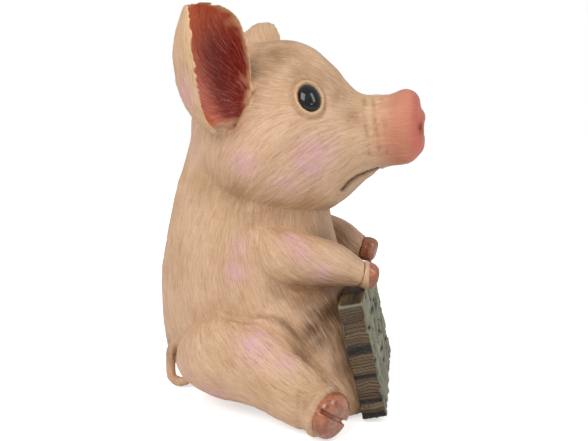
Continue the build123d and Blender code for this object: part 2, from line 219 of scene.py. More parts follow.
# %% Floor and light
floor_mesh = bpy.data.meshes.new("studio_floor")
floor_span, floor_drop = 4.0, 0.0004
corners = [(x * floor_span, y * floor_span, 0) for x, y in ((-1, -1), (1, -1), (1, 1), (-1, 1))]
floor_mesh.from_pydata(corners, [], [(0, 1, 2, 3)])
floor = placed("studio_floor", floor_mesh)
floor.location.z = -floor_drop
floor_paint = bpy.data.materials.new("pale_floor")
tree = emptied(floor_paint)
matte = add(tree, "ShaderNodeBsdfDiffuse", {"Color": (0.9, 0.9, 0.9, 1)})
glow = add(tree, "ShaderNodeEmission", {"Color": (1, 1, 1, 1), "Strength": 0.6})
nothing = add(tree, "ShaderNodeEmission", {"Color": (0, 0, 0, 1), "Strength": 0.0})
path = add(tree, "ShaderNodeLightPath")
seen_inputs = {0: path.outputs["Is Camera Ray"], 1: nothing.outputs[0], 2: glow.outputs[0]}
seen = add(tree, "ShaderNodeMixShader", seen_inputs)
both = add(tree, "ShaderNodeAddShader", {0: matte.outputs[0], 1: seen.outputs[0]})
add(tree, "ShaderNodeOutputMaterial", {0: both.outputs[0]})
floor_mesh.materials.append(floor_paint)
floor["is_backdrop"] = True

world = bpy.data.worlds.new("studio")
scene.world = world
tree = emptied(world)
path = add(tree, "ShaderNodeLightPath")
white_rays = sums(tree, "MAXIMUM", path.outputs["Is Camera Ray"], path.outputs["Is Transmission Ray"])
sky_level = between(tree, white_rays, 0.0, 1.0, 0.52, 1.0)
sky = add(tree, "ShaderNodeBackground", {"Color": (1.0, 1.0, 1.0, 1), "Strength": sky_level})
add(tree, "ShaderNodeOutputWorld", {0: sky.outputs[0]})


def soft_lamp(name, place, size, power, tint):
    """A rectangular lamp that looks at the figurine's middle."""
    data = bpy.data.lights.new(name, "AREA")
    data.shape = "RECTANGLE"
    data.size, data.size_y = size
    data.energy, data.color = power, tint
    lamp = placed(name, data)
    lamp.location = place
    aim = lamp_target - Vector(place)
    lamp.rotation_euler = aim.to_track_quat("-Z", "Y").to_euler()


lamp_target = Vector((0, 0, 0.11))
soft_lamp("key_lamp", (-0.72, 0.4, 0.92), (0.7, 0.7), 6.8, (1.0, 0.98, 0.96))
soft_lamp("window_lamp", (-0.37, -0.80, 0.88), (0.3, 0.75), 2.6, (0.94, 0.97, 1.0))
soft_lamp("glint_lamp", (-0.67, -0.62, 0.36), (0.22, 0.05), 0.3, (1.0, 1.0, 1.0))

# %% [markdown]
# ## Mesh helpers
# The skin is sculpted in code. A copy of the solids is joined and remeshed to an even net
# of small squares. After that a sculpting move is a sum on arrays: where each point is,
# which way its surface faces, and how near it is to a spot or a line.


# %% Mesh helpers
weld_gap = 1e-6


def joined_copy(name, node_names):
    """One mesh from copies of solids."""
    work = bmesh.new()
    for node in node_names:
        part = bmesh.new()
        part.from_mesh(solids[node].data)
        bmesh.ops.remove_doubles(part, verts=part.verts, dist=weld_gap)
        piece = bpy.data.meshes.new(node)
        part.to_mesh(piece)
        part.free()
        work.from_mesh(piece)
        bpy.data.meshes.remove(piece)
    mesh = bpy.data.meshes.new(name)
    work.to_mesh(mesh)
    work.free()
    return mesh


def egg(name, middle, axes, halves):
    """A closed egg from its middle, its three axes and its half sizes in mm."""
    work = bmesh.new()
    bmesh.ops.create_uvsphere(work, u_segments=64, v_segments=40, radius=1.0)
    frame_of_egg = np.array(axes) * np.array(halves)[:, None]
    for vert in work.verts:
        vert.co = Vector((np.array(middle) + np.array(vert.co) @ frame_of_egg) * MM)
    bmesh.ops.recalc_face_normals(work, faces=work.faces)
    mesh = bpy.data.meshes.new(name)
    work.to_mesh(mesh)
    work.free()
    return mesh


def with_eggs(mesh, eggs):
    """A mesh with some eggs added."""
    work = bmesh.new()
    work.from_mesh(mesh)
    for extra in eggs:
        work.from_mesh(extra)
    work.to_mesh(mesh)
    work.free()
    return mesh


def even_net(mesh, size):
    """The outside of a closed mesh as an even net of squares, without what is enclosed."""
    holder = placed(mesh.name, mesh)
    remesh = holder.modifiers.new("even_net", "REMESH")
    remesh.mode = "VOXEL"
    remesh.voxel_size = size
    remesh.adaptivity = 0.0
    graph = bpy.context.evaluated_depsgraph_get()
    net = bpy.data.meshes.new_from_object(holder.evaluated_get(graph))
    bpy.data.objects.remove(holder)
    places, quads = mesh_arrays(net)
    label = np.arange(len(places))
    pairs = np.concatenate([quads[:, [0, 1]], quads[:, [1, 2]], quads[:, [2, 3]]])
    while True:
        lowest = label.copy()
        np.minimum.at(lowest, pairs[:, 0], label[pairs[:, 1]])
        np.minimum.at(lowest, pairs[:, 1], label[pairs[:, 0]])
        lowest = lowest[lowest]
        lowest = lowest[lowest]
        if (lowest == label).all():
            break
        label = lowest
    main = label == label[np.argmin(places[:, 0])]
    kept = main[quads].all(axis=1)
    renumber = np.cumsum(main) - 1
    return places[main], renumber[quads[kept]]


def mesh_arrays(mesh):
    """The points in mm and the four corners of each square."""
    places = np.zeros(len(mesh.vertices) * 3)
    mesh.vertices.foreach_get("co", places)
    quads = np.zeros(len(mesh.loops), int)
    mesh.loops.foreach_get("vertex_index", quads)
    return places.reshape(-1, 3) / MM, quads.reshape(-1, 4)


def facing(places, quads):
    """The direction that each point's surface faces."""
    diagonal_a = places[quads[:, 2]] - places[quads[:, 0]]
    diagonal_b = places[quads[:, 3]] - places[quads[:, 1]]
    square = np.cross(diagonal_a, diagonal_b)
    total = np.zeros_like(places)
    for corner in range(4):
        np.add.at(total, quads[:, corner], square)
    return total / np.maximum(np.linalg.norm(total, axis=1, keepdims=True), 1e-12)


def neighbour_mean(values, quads):
    """The mean of each point's neighbours along the net."""
    total, count = np.zeros_like(values), np.zeros(len(values))
    for first, second in ((0, 1), (1, 2), (2, 3), (3, 0)):
        for here, there in ((first, second), (second, first)):
            np.add.at(total, quads[:, here], values[quads[:, there]])
            np.add.at(count, quads[:, here], 1)
    count = np.maximum(count, 1)
    return total / (count[:, None] if values.ndim == 2 else count)


def relaxed(places, quads, rounds):
    """The net smoothed without shrinking much."""
    for _ in range(rounds):
        for step in (0.55, -0.53):
            places = places + (neighbour_mean(places, quads) - places) * step
    return places


def melted(places, quads, rounds, share=1.0):
    """The net smoothed so that a hard crease fills, where share is high."""
    for _ in range(rounds):
        places = places + (neighbour_mean(places, quads) - places) * 0.5 * np.reshape(share, (-1, 1))
    return places


# %% [markdown]
# Masks say where something happens. A spot fades out round a place, and a groove follows
# a line of places. Both are given in millimetres on the piglet's right side and mirrored
# to its left. Smooth random values come from a lattice of hashed numbers, so every run
# gives the same piece.


# %% Masks and random values
def bell(value, width):
    """1 where a value is zero, fading out over a width to both sides."""
    return np.exp(-(value / width) ** 2)


def spots(places, table):
    """A mask, 0 to about 1, from (x, y, z, radius, strength) spots and their mirror images."""
    mask = np.zeros(len(places))
    for x, y, z, radius, strength in table:
        for side in (x, -x):
            far = np.linalg.norm(places - np.array([side, y, z]), axis=1)
            mask = np.maximum(mask, strength * bell(far, radius))
    return mask


def line_distance(places, line):
    """How far each point is from a line of places."""
    best = np.full(len(places), 1e9)
    for start, end in zip(line[:-1], line[1:]):
        start, run = np.array(start, float), np.array(end, float) - np.array(start, float)
        share = np.clip(((places - start) @ run) / (run @ run), 0, 1)
        best = np.minimum(best, np.linalg.norm(places - start - share[:, None] * run, axis=1))
    return best


def both_sides(line):
    """A line on the right side and its mirror image on the left."""
    return [line, [(-x, y, z) for x, y, z in line]]


cell_primes, seed_prime = np.array([73856093, 19349663, 83492791]), 2654435761
mix_primes, low_bits = (1274126177, 2246822519), 0xFFFFFFFF


def lattice_noise(places, size, seed):
    """Smooth random values, -1 to 1, that change over about size mm."""
    cell = places / size + 500.0
    base = np.floor(cell).astype(np.int64)
    part = cell - base
    part = part * part * (3 - 2 * part)
    total = np.zeros(len(places))
    for corner in range(8):
        bits = np.array([corner & 1, corner >> 1 & 1, corner >> 2 & 1])
        key = base + bits
        mix = key * cell_primes
        mix = mix[:, 0] ^ mix[:, 1] ^ mix[:, 2] ^ (seed * seed_prime)
        for shift, prime in zip((13, 16), mix_primes):
            mix = (mix ^ (mix >> shift)) * prime & low_bits
        weight = np.prod(np.where(bits, part, 1 - part), axis=1)
        total += weight * (mix / 2 ** 31 - 1)
    return total


# %% [markdown]
# ## Skin
# The skin of the real piece runs over body, head, limbs, ears and tail in one flow of
# modelling, although the casting comes in parts. So it is sculpted as one net and only
# afterwards parted along the glue joints. First come the frames that the face needs: the
# head is turned a little, and each eye and each ear has its own directions.

# %% Frames of the head, eyes and ears
head_middle = np.array([0.0, -4.5, 155.0])
head_turn = math.radians(-6.5)
turn_cos, turn_sin = math.cos(head_turn), math.sin(head_turn)
turn_rows = np.array([[turn_cos, turn_sin, 0], [-turn_sin, turn_cos, 0], [0, 0, 1]])


def unit(arrow):
    """An arrow made one long."""
    return np.array(arrow, float) / np.linalg.norm(arrow)


def from_head(place):
    """A place or arrow of the head's own frame, turned as the head is."""
    return np.array(place, float) @ turn_rows


def in_head(places):
    """Places in the head's own frame."""
    return (places - head_middle) @ turn_rows.T


eyes = {}  # the middle of each eye, and its axes across, up and out
for node, side in (("eye_right", -1), ("eye_left", 1)):
    low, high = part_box(node)
    out = from_head(unit((side * 0.72, -0.485, 0.49)))
    up = unit(np.array([0, 0, 1.0]) - out * out[2])
    eyes[node] = (np.array((low + high) / 2) / MM, (np.cross(up, out), up, out))
eye_halves, eye_zone = (6.5, 8.2, 4.3), 9


def round_eye(places, middle, axes):
    """How far places are from an eye's axis, in bead halves, and whether they are near the bead."""
    across, up, out = [(places - middle) @ axis for axis in axes]
    return np.hypot(across / eye_halves[0], up / eye_halves[1]), np.abs(out) < eye_zone


# %% Measures in an ear
ear_length, ear_width, ear_cup, ear_lip = 64.8, 35.0, 29.0, 1.5
# shares: place along, front rim, rear rim, lean, depth outside, depth inside
ear_sections = np.array([
    (0.00, -0.20, 0.24, 0.02, 0.34, 0.06), (0.13, -0.34, 0.40, 0.06, 0.62, 0.40),
    (0.28, -0.46, 0.47, 0.12, 0.86, 0.72), (0.44, -0.50, 0.48, 0.16, 0.96, 0.85),
    (0.60, -0.50, 0.46, 0.17, 0.96, 0.85), (0.75, -0.49, 0.41, 0.15, 0.86, 0.75),
    (0.87, -0.42, 0.36, 0.11, 0.64, 0.53), (0.95, -0.24, 0.31, 0.06, 0.40, 0.30),
    (1.00, 0.00, 0.25, 0.02, 0.18, 0.11),
])
ear_along = unit((-math.sin(math.radians(11.5)), math.sin(math.radians(7.0)), math.cos(math.radians(11.5))))
ear_across = np.array([-math.sin(math.radians(60.0)), math.cos(math.radians(60.0)), 0])
ear_across = unit(ear_across - ear_along * (ear_across @ ear_along))
ear_open = np.cross(ear_along, ear_across)
ear_roots = {"ear_right": np.array([-45.0, 12.0, -1.0]), "ear_left": np.array([-45.0, 17.0, 2.5])}


def ear_measures(places, node):
    """Share along an ear, place from front to rear rim, height over the rims, depth in the cup."""
    local = in_head(places)
    if node == "ear_left":
        local = local * np.array([-1, 1, 1])
    local = local - ear_roots[node]
    along = local @ ear_along / ear_length
    x, y = local @ ear_across, local @ ear_open
    front, rear, lean, outer, inner = [
        np.interp(along, ear_sections[:, 0], ear_sections[:, column]) * size
        for column, size in zip(range(1, 6), (ear_width, ear_width, ear_width, ear_cup, ear_cup))
    ]
    half = (rear - front) / 2
    wide, deep = half + ear_lip, outer
    outer_radius = (wide ** 2 + deep ** 2) / (2 * deep)
    deep = inner + ear_lip
    inner_radius = (half ** 2 + deep ** 2) / (2 * deep)
    middle = (lean - outer + outer_radius + lean - inner + inner_radius) / 2
    far = np.hypot(x - (front + rear) / 2, y - middle)
    across = (x - (front + rear) / 2) / np.maximum(half, 1.0)
    return along, across, y - lean, (outer_radius + inner_radius) / 2 - far


# %% [markdown]
# The solids are joined, and the eye sockets are filled behind the beads. The net is then
# relaxed so that the joints melt into soft creases.

# %% One net over all skin solids
skin_nodes = ["torso", "head", "ear_right", "ear_left", "arm_right", "arm_left"]
skin_nodes += ["leg_right", "leg_left", "tail"]
socket_back, socket_halves = 1.2, (6.9, 8.6, 2.4)
fillers = []
for middle, axes in eyes.values():
    fillers.append(egg("socket_floor", middle - socket_back * axes[2], axes, socket_halves))
skin_mesh = with_eggs(joined_copy("skin", skin_nodes + ["closing_plate"]), fillers)
net_size = 0.8
skin, quads = even_net(skin_mesh, net_size * MM)
print("skin net:", len(skin), "points")

# %% Soft joints
mouth_line = [(0, -61.7, -23.4), (0, -57.2, -24.9), (0, -52.4, -27.0), (0, -48.1, -30.2), (0, -44.4, -34.7)]
mouth_far = line_distance(in_head(skin) * np.array([0, 1, 1]), mouth_line)
joints = spots(skin, [
    (-44, 6, 98, 15, 1.0), (-40, 2, 108, 15, 1.0), (-30, 30, 122, 18, 1.0), (-38, 14, 117, 16, 0.8),
    (-52, 32, 50, 18, 1.0), (-46, 45, 40, 16, 1.0), (-44, 50, 22, 14, 0.8), (-50, 16, 56, 12, 0.6),
    (-38, 24, 156, 9, 0.8), (-19, 57, 27, 9, 1.0), (-42, -10, 72, 9, 0.4), (-42, 10, 158, 8, 0.7),
    (-44, 0, 166, 7, 0.6), (-40, -38, 72, 8, 0.4),
])
joints = np.maximum(joints, spots(skin, [(0, 42, 122, 26, 1.0)]))
joints = np.maximum(joints, np.clip((-70 - skin[:, 1]) / 6, 0, 0.7) * (skin[:, 2] > 125))
joints = np.maximum(joints, bell(mouth_far, 4.0))
for node in ear_roots:
    along, across, over_rim, cup = ear_measures(skin, node)
    near_ear = (skin[:, 2] > 140) & (np.abs(skin[:, 0]) > 25) & (np.abs(across) < 2) & (over_rim < 8)
    tip_share = np.clip((along - 0.9) / 0.08, 0, 1) * near_ear
    rim_share = bell(cup, 1.6) * np.clip((over_rim + 5) / 3, 0, 1) * (along > 0.1) * near_ear
    joints = np.maximum(joints, np.maximum(0.5 * tip_share, 0.35 * rim_share))
smoothing_rounds = 14
skin = melted(skin, quads, smoothing_rounds, joints)
skin = relaxed(skin, quads, smoothing_rounds)
normal = facing(skin, quads)

# %% [markdown]
# ## Sculpting
# The marks that give the piglet its look come next: the creases across the snout's bridge,
# the line of the mouth, the folds where the limbs press against the body, the corners of
# the snout's disc, the nostrils, the lids round the eyes, and the cuffs above the rear
# hooves. Each mark moves points in or out along their facing.


# %% Creases, folds and mouth
def pressed(places, normals, far, depth, width, lip=0.0):
    """Press a groove where the distance is small, with a raised lip on both sides."""
    move = -depth * bell(far, width) + lip * bell(far - 2 * width, width)
    return places + normals * move[:, None]


# a line, its depth and its width
snout_creases = [
    ([(-14, -57, 169.6), (-24, -57.5, 165), (-27.3, -59, 154), (-25, -60.5, 141), (-15, -61, 134)],
     0.55, 1.3),
    ([(-6, -61.0, 171.0), (-18, -62, 168), (-26.6, -64, 156), (-24.5, -66, 143)], 0.45, 1.1),
    ([(-4, -66.0, 171.5), (-16, -66.5, 169), (-26.3, -69, 156), (-23, -70, 141)], 0.4, 1.0),
    ([(-3, -71.0, 172.0), (-15, -71.5, 170.5), (-25, -74.5, 160), (-25.6, -75.5, 148)], 0.35, 1.0),
]
folds = [
    ([(-40, 20, 53), (-50, 11, 52.6), (-52, 2, 53), (-50, -7, 53.6)], 1.0, 1.6),
    ([(-40, 0, 76), (-42, -10, 71), (-42, -24, 69), (-38, -38, 70)], 0.7, 1.6),
    ([(-66, -33, 27), (-76, -31, 24), (-82, -33, 14)], 0.45, 1.2),
]
for line, depth, width in snout_creases + folds:
    for side_line in both_sides(line):
        skin = pressed(skin, normal, line_distance(skin, side_line), depth, width, 0.3 * depth)
skin = pressed(skin, normal, mouth_far, 1.3, 1.0, 0.35)
print("creases and folds:", len(snout_creases + folds))

# %% Crease in front of the thigh
flank_x, flank_reach = 51, 11
thigh_line = [
    (0, -7, 54.4), (0, -12.8, 53.4), (0, -17, 51.5), (0, -21.3, 48.3), (0, -25.6, 44), (0, -30, 38.3),
    (0, -33.4, 32.2), (0, -37.5, 25),
]
off_flank = np.abs(np.abs(skin[:, 0]) - flank_x) > flank_reach
thigh_far = line_distance(skin * np.array([0, 1, 1]), thigh_line) + 4 * off_flank
thigh_start = np.clip((-6 - skin[:, 1]) / 12, 0.15, 1)
skin = pressed(skin, normal, thigh_far, 2.6 * thigh_start, 2.3)
print("thigh crease:", int((thigh_far < 2).sum()), "points")

# %% Disc corners and nostrils
disc_corners = spots(in_head(skin), [
    (-7, -82, 17, 6, 1.9), (-11, -84, 12, 5, 1.4), (-10, -79, -19, 5, 1.3), (0, -83, 17, 5, 1.5),
])
skin = skin + normal * disc_corners[:, None]
nostril_dent = spots(in_head(skin), [(-10.0, -85.0, -0.5, 3.4, 1.1)])
skin = skin - normal * nostril_dent[:, None]
nostril_zone = spots(in_head(skin), [(-8.0, -84.0, -1.0, 3.6, 1.0)])
normal = facing(skin, quads)
print("nostril points:", int((nostril_zone > 0.5).sum()))

# %% Eyelids and cuffs
for middle, axes in eyes.values():
    reach, near = round_eye(skin, middle, axes)
    ring = 1.5 * bell(reach - 1.15, 0.12) - 0.7 * bell(reach - 1.5, 0.15)
    sunk = -1.6 * np.clip((0.98 - reach) / 0.12, 0, 1)
    skin = skin + normal * ((ring + sunk) * near)[:, None]
ankle, ankle_run = np.array([-72.0, -43.5, 13.2]), unit((-5.04, -7.65, -1.62))
for side in (1, -1):
    mirror = np.array([side, 1, 1])
    away = skin - ankle * mirror
    run = ankle_run * mirror
    behind = away @ run
    aside = np.linalg.norm(away - behind[:, None] * run, axis=1)
    cuff = 2.0 * bell(behind + 1.4, 2.2) - 0.9 * bell(behind + 7.5, 2.2)
    skin = skin + normal * (cuff * ((aside > 7) & (aside < 17)))[:, None]
print("sculpted box:", skin.min(0).round(1), skin.max(0).round(1))

# %% [markdown]
# ## Hair strokes
# Short strokes are carved all over, and they follow the body as real hair does. A few guide
# arrows say which way the hair lies. At every point random values are then averaged along
# the arrow's direction, which draws them out into strokes. The strokes become real relief.

# %% Which way the hair lies
# a place on the skin and the way the hair lies there
hair_guides = [
    ((-15, -78, 152), (0, 1, 0)), ((0, -60, 170), (0, 1, 0.1)), ((-25, -60, 150), (-0.1, 1, -0.2)),
    ((-38, -45, 150), (-0.2, 0.9, -0.5)), ((-45, -25, 140), (0, 0.75, -0.75)),
    ((-47, 0, 135), (0, 0.6, -0.85)), ((-40, -25, 120), (0, 0.9, -0.3)),
    ((-24, -36, 180), (-0.3, 0.7, 0.55)), ((-15, -25, 196), (0, 1, 0.3)),
    ((-36, -10, 185), (-0.2, 0.95, 0.2)), ((0, 0, 203), (0, 1, 0)), ((-20, 25, 190), (0, 0.8, -0.6)),
    ((0, 42, 165), (0, 0.2, -1)), ((-34, 30, 150), (0, 0.45, -1)), ((-28, 36, 130), (0, 0.3, -1)),
    ((0, 50, 120), (0, 0.15, -1)), ((0, 62, 70), (0, 0, -1)), ((0, 60, 25), (0, -0.2, -1)),
    ((-40, 22, 105), (-0.1, 0.25, -1)), ((-47, 10, 85), (0, 0.2, -1)), ((-46, 32, 70), (0, 0, -1)),
    ((-50, 0, 62), (0, -0.4, -1)), ((-46, -20, 60), (0, -0.5, -1)), ((-30, -50, 45), (0, -0.3, -1)),
    ((0, -38, 95), (0, -0.3, -1)), ((-45, -8, 92), (-0.1, -0.65, -0.75)),
    ((-48, -28, 86), (0.1, -0.8, -0.6)), ((-42, -50, 80), (0.2, -0.95, -0.35)),
    ((-62, 28, 42), (-0.2, -0.5, -0.8)), ((-58, 45, 30), (0, 0, -1)), ((-64, 0, 42), (-0.3, -0.75, -0.65)),
    ((-68, -20, 34), (-0.3, -0.85, -0.5)), ((-76, -34, 20), (-0.4, -0.9, -0.2)),
    ((-58, 20, 14), (-0.3, -0.9, -0.2)), ((-58, 26, 180), (-0.2, 0.15, 1)),
    ((-62, 30, 205), (-0.2, 0.1, 1)), ((-40, 18, 185), (-0.2, 0.1, 1)), ((-42, 18, 206), (-0.2, 0.1, 1)),
]
guide_reach, guide_least = 15.0, 1e-6


def hair_direction(places, normals):
    """The unit direction of the hair at each point, lying in the surface."""
    total = np.zeros_like(places)
    for spot, arrow in hair_guides:
        for side in (1, -1):
            away = ((places - np.array([side * spot[0], spot[1], spot[2]])) ** 2).sum(1)
            weight = np.exp(-away / (2 * guide_reach ** 2)) + guide_least / (1 + away)
            total += weight[:, None] * np.array([side * arrow[0], arrow[1], arrow[2]])
    total -= normals * (total * normals).sum(1, keepdims=True)
    return total / np.maximum(np.linalg.norm(total, axis=1, keepdims=True), 1e-9)


def strokes(places, direction, reach, size, seed, steps=13):
    """Random values drawn out along a direction; about -2 to 2."""
    total = np.zeros(len(places))
    for step in np.linspace(-reach, reach, steps):
        total += lattice_noise(places + direction * step, size, seed)
    return total / total.std()


hair = hair_direction(skin, normal)
fine_strokes = strokes(skin, hair, 4.0, 1.25, 11)
long_strokes = strokes(skin, hair, 7.0, 2.2, 23)
print("hair strokes on", len(skin), "points")

# %% [markdown]
# ## Painted zones
# The paint is airbrushed in soft clouds: lilac pink on cheek, arm, body and thigh, an olive tint on the
# forehead, salmon on the snout, and terracotta in the ears. Painted shade is laid in as colour too: brown in
# the folds, round the eyes and along the snout's creases, olive under the cheeks and at the haunch, and
# maroon on the front side of each ear's cup. Each zone is a mask that the mesh stores, and the material mixes
# the paints.

# %% Zones of paint
blush_zone = spots(skin, [
    (-43, -31, 139, 11, 0.9), (-44.7, -18, 126, 10, 0.5), (-47, 3, 136, 8, 0.7), (-38.6, -40, 143, 8, 0.5),
    (-48, -27, 91, 7, 0.7), (-44, -21, 97, 6, 0.8), (-45, -37, 78, 7, 0.7), (-46, 8, 78, 7, 0.8),
    (-44, 7, 92, 6, 0.5), (-63, -5, 43.6, 9, 0.9), (-68, -22, 37, 6, 0.6), (-55, 19, 11, 12, 0.7),
    (-28, 35, 148, 9, 0.4), (-61, 30, 174, 10, 0.6), (-58, 42, 20, 10, 0.5), (0, 60, 60, 14, 0.4),
])
# an olive wash on forehead, brow and ear roots, and olive painted shade under the cheeks and at the haunch
wash_and_shade_zone = spots(skin, [
    (-21, -9, 194, 13, 1.0), (-29, -3, 186, 12, 1.0), (-24, -36, 178, 9, 0.7), (-22, -44, 171, 7, 0.9),
    (-25, -51, 161, 6, 0.7), (-28, -23, 183, 9, 0.7), (-41, 11, 121, 9, 0.7), (-40, -1, 109, 11, 0.5),
    (-50, 6, 52, 7, 0.3), (-78, -34, 22, 6, 0.5), (-8, -6, 200, 12, 0.8), (-30, 30, 120, 9, 0.4),
    (-34, -2, 178, 8, 0.7), (-40, 0, 170, 6, 0.5), (-16, 14, 196, 10, 0.6),
])
# painted shade in brown: under the arm, beside the board, under the chin, by the tail root and under the body
fold_shade_zone = spots(skin, [
    (-43, -30, 64, 10, 0.8), (-43, -40, 62, 11, 0.9), (-42, -50, 58, 9, 0.8), (-44, -38, 50, 9, 0.7),
    (-44, -47, 40, 9, 0.35), (-45, -16, 68, 6, 0.6), (-28, -54, 54, 10, 0.6), (-20, -42, 90, 12, 0.9),
    (-46, -52, 26, 9, 0.2), (-18, 58, 20, 7, 0.8), (-45, 5, 2, 10, 0.5), (-24, -40, 98, 9, 0.6),
])
on_snout = (skin[:, 2] > 120) & (skin[:, 1] < -50)
snout_zone = np.clip((-65 - skin[:, 1] + 0.2 * np.abs(skin[:, 0])) / 14, 0, 1) * on_snout
disc_zone = np.clip((-80 - skin[:, 1]) / 5, 0, 1) * on_snout
# painted shade in brown under the cheeks, at the haunch, under the arm and by the ear roots; rings round the
# eyes and lines along the snout's creases are added below
shade_zone = spots(skin, [
    (-44, 8, 120, 9, 0.6), (-40, -12, 109, 10, 0.6), (-36, 24, 128, 10, 0.5), (-34, -26, 111, 9, 0.5),
    (-48, 12, 51, 6, 0.3), (-52, 2, 51.5, 5, 0.35), (-46, 22, 53, 7, 0.25),
    (-42, -10, 69, 6, 0.9), (-42, -24, 67, 7, 0.9), (-38, -36, 68, 7, 0.9), (-62, -34, 24, 6, 0.6),
    (-40, 8, 160, 6, 0.7), (-38, 0, 172, 5, 0.6), (-46, 10, 156, 6, 0.8), (-26, -52, 158, 6, 0.5),
])
lid_zone = np.zeros(len(skin))
for middle, axes in eyes.values():
    reach, near = round_eye(skin, middle, axes)
    lid_zone = np.maximum(lid_zone, bell(reach - 1.13, 0.13) * near)
    shade_zone = np.maximum(shade_zone, 0.6 * bell(reach - 1.42, 0.16) * near)
for line, depth, width in snout_creases:
    for side_line in both_sides(line):
        shade_zone = np.maximum(shade_zone, 0.75 * bell(line_distance(skin, side_line), 1.2))
# painted shade in the recess between thigh and belly, placed in the side view, away from the middle
too_far = 40 * (np.abs(skin[:, :1]) < 30)
recess_shade = spots(skin * np.array([0, 1, 1]) + too_far, [
    (0, -33, 48, 7, 1.0), (0, -39, 55, 8, 1.0), (0, -33, 56, 6, 0.8), (0, -37, 42, 6, 0.8),
    (0, -51, 28, 7, 0.5),
])
# painted shade along the crease in front of the thigh and in the recess beside it
fold_shade_zone = np.maximum(np.maximum(fold_shade_zone, recess_shade), 0.6 * thigh_start * bell(thigh_far, 2.0))
print("zones:", [round(float(z.mean()), 3) for z in (blush_zone, wash_and_shade_zone, fold_shade_zone, snout_zone)])

# %% Inside of the ears
ear_zone, ear_shade, ear_rim, ear_glow = (np.zeros(len(skin)) for _ in range(4))
for node in ear_roots:
    along, across, over_rim, cup = ear_measures(skin, node)
    here = (along > 0.02) & (along < 1.03) & (np.abs(across) < 1.6) & (over_rim < 6) & (cup > -6)
    ragged = (0.5 * fine_strokes + 0.2 * long_strokes) * np.clip(0.3 - across, 0, 1)
    hollow = np.clip((cup + 0.25 * ragged + 0.05) / 0.6, 0, 1) * np.clip((2.2 - over_rim) / 1.6, 0, 1)
    hollow *= np.clip((along - 0.03) / 0.05, 0, 1) * here
    ear_zone = np.maximum(ear_zone, hollow)
    # painted shade: maroon on the front side of the cup, stronger towards the root
    front_shade = np.clip((0.05 - across + 0.15 * ragged) / 0.6, 0, 1) * np.clip((1.05 - along) / 0.4, 0.3, 1)
    ear_shade = np.where(here, front_shade * hollow, ear_shade)
    edge = bell(cup, 0.9) * np.clip((over_rim + 4.5) / 3, 0, 1) * here
    ear_rim = np.maximum(ear_rim, edge)
    glow = bell(across - 0.1, 0.35) * bell(along - 0.33, 0.22)
    ear_glow = np.maximum(ear_glow, glow * hollow)
print("ear points:", int((ear_zone > 0.5).sum()))

# %% Relief of the strokes
fine_height, long_height = 0.13, 0.10
calm = np.clip(0.8 * snout_zone + ear_rim + bell(mouth_far, 3.0), 0, 1)
relief = fine_height * fine_strokes + long_height * long_strokes
skin = skin + normal * (relief * (1 - 0.75 * calm))[:, None]
skin_bottom = 0.9
skin[:, 2] = np.maximum(skin[:, 2], skin_bottom)
print("relief:", relief.min().round(2), "to", relief.max().round(2), "mm")


# %% [markdown]
# The net is now parted along the glue joints, so each casting gets its own skin piece over
# its own solid. Every square goes to the solid it lies nearest to. The cut edge is turned
# in and closed, and the facing of the whole net is kept, so that no seam shows.


# %% Part the skin by casting
def nearest_solid(places):
    """The name number of the skin solid that each place lies nearest to."""
    vertices, faces, owner = [], [], []
    for number, node in enumerate(skin_nodes):
        data = solids[node].data
        offset = len(vertices)
        vertices.extend(vertex.co for vertex in data.vertices)
        for polygon in data.polygons:
            faces.append(tuple(v + offset for v in polygon.vertices))
            owner.append(number)
    tree = BVHTree.FromPolygons(vertices, faces)
    return np.array([owner[tree.find_nearest(Vector(p * MM))[2]] for p in places])


def steadied(owners, corners, count, rounds):
    """Owners of the squares after stray ones have joined the majority round them."""
    for _ in range(rounds):
        votes = np.zeros((count, len(skin_nodes)))
        for corner in range(4):
            np.add.at(votes, (corners[:, corner], owners), 1)
        owners = votes[corners].sum(1).argmax(1)
    return owners


def capped(work, depth):
    """Close every open ring with a fan to a point that is set back behind its middle."""
    arrow = work.verts.layers.float_vector["facing"]
    free = {edge for edge in work.edges if edge.is_boundary}
    while free:
        ring, front = [], [free.pop()]
        while front:
            edge = front.pop()
            ring.append(edge)
            near = [item for vert in edge.verts for item in vert.link_edges if item in free]
            free.difference_update(near)
            front.extend(near)
        rim = {vert for edge in ring for vert in edge.verts}
        middle = sum((vert.co for vert in rim), Vector()) / len(rim)
        outward = sum((vert[arrow] for vert in rim), Vector()) / len(rim)
        hub = work.verts.new(middle - outward * depth)
        for edge in ring:
            corner = edge.link_loops[0]
            work.faces.new((corner.link_loop_next.vert, corner.vert, hub))


# %% Closed pieces
turned_in, hub_depth = 1.2, 14


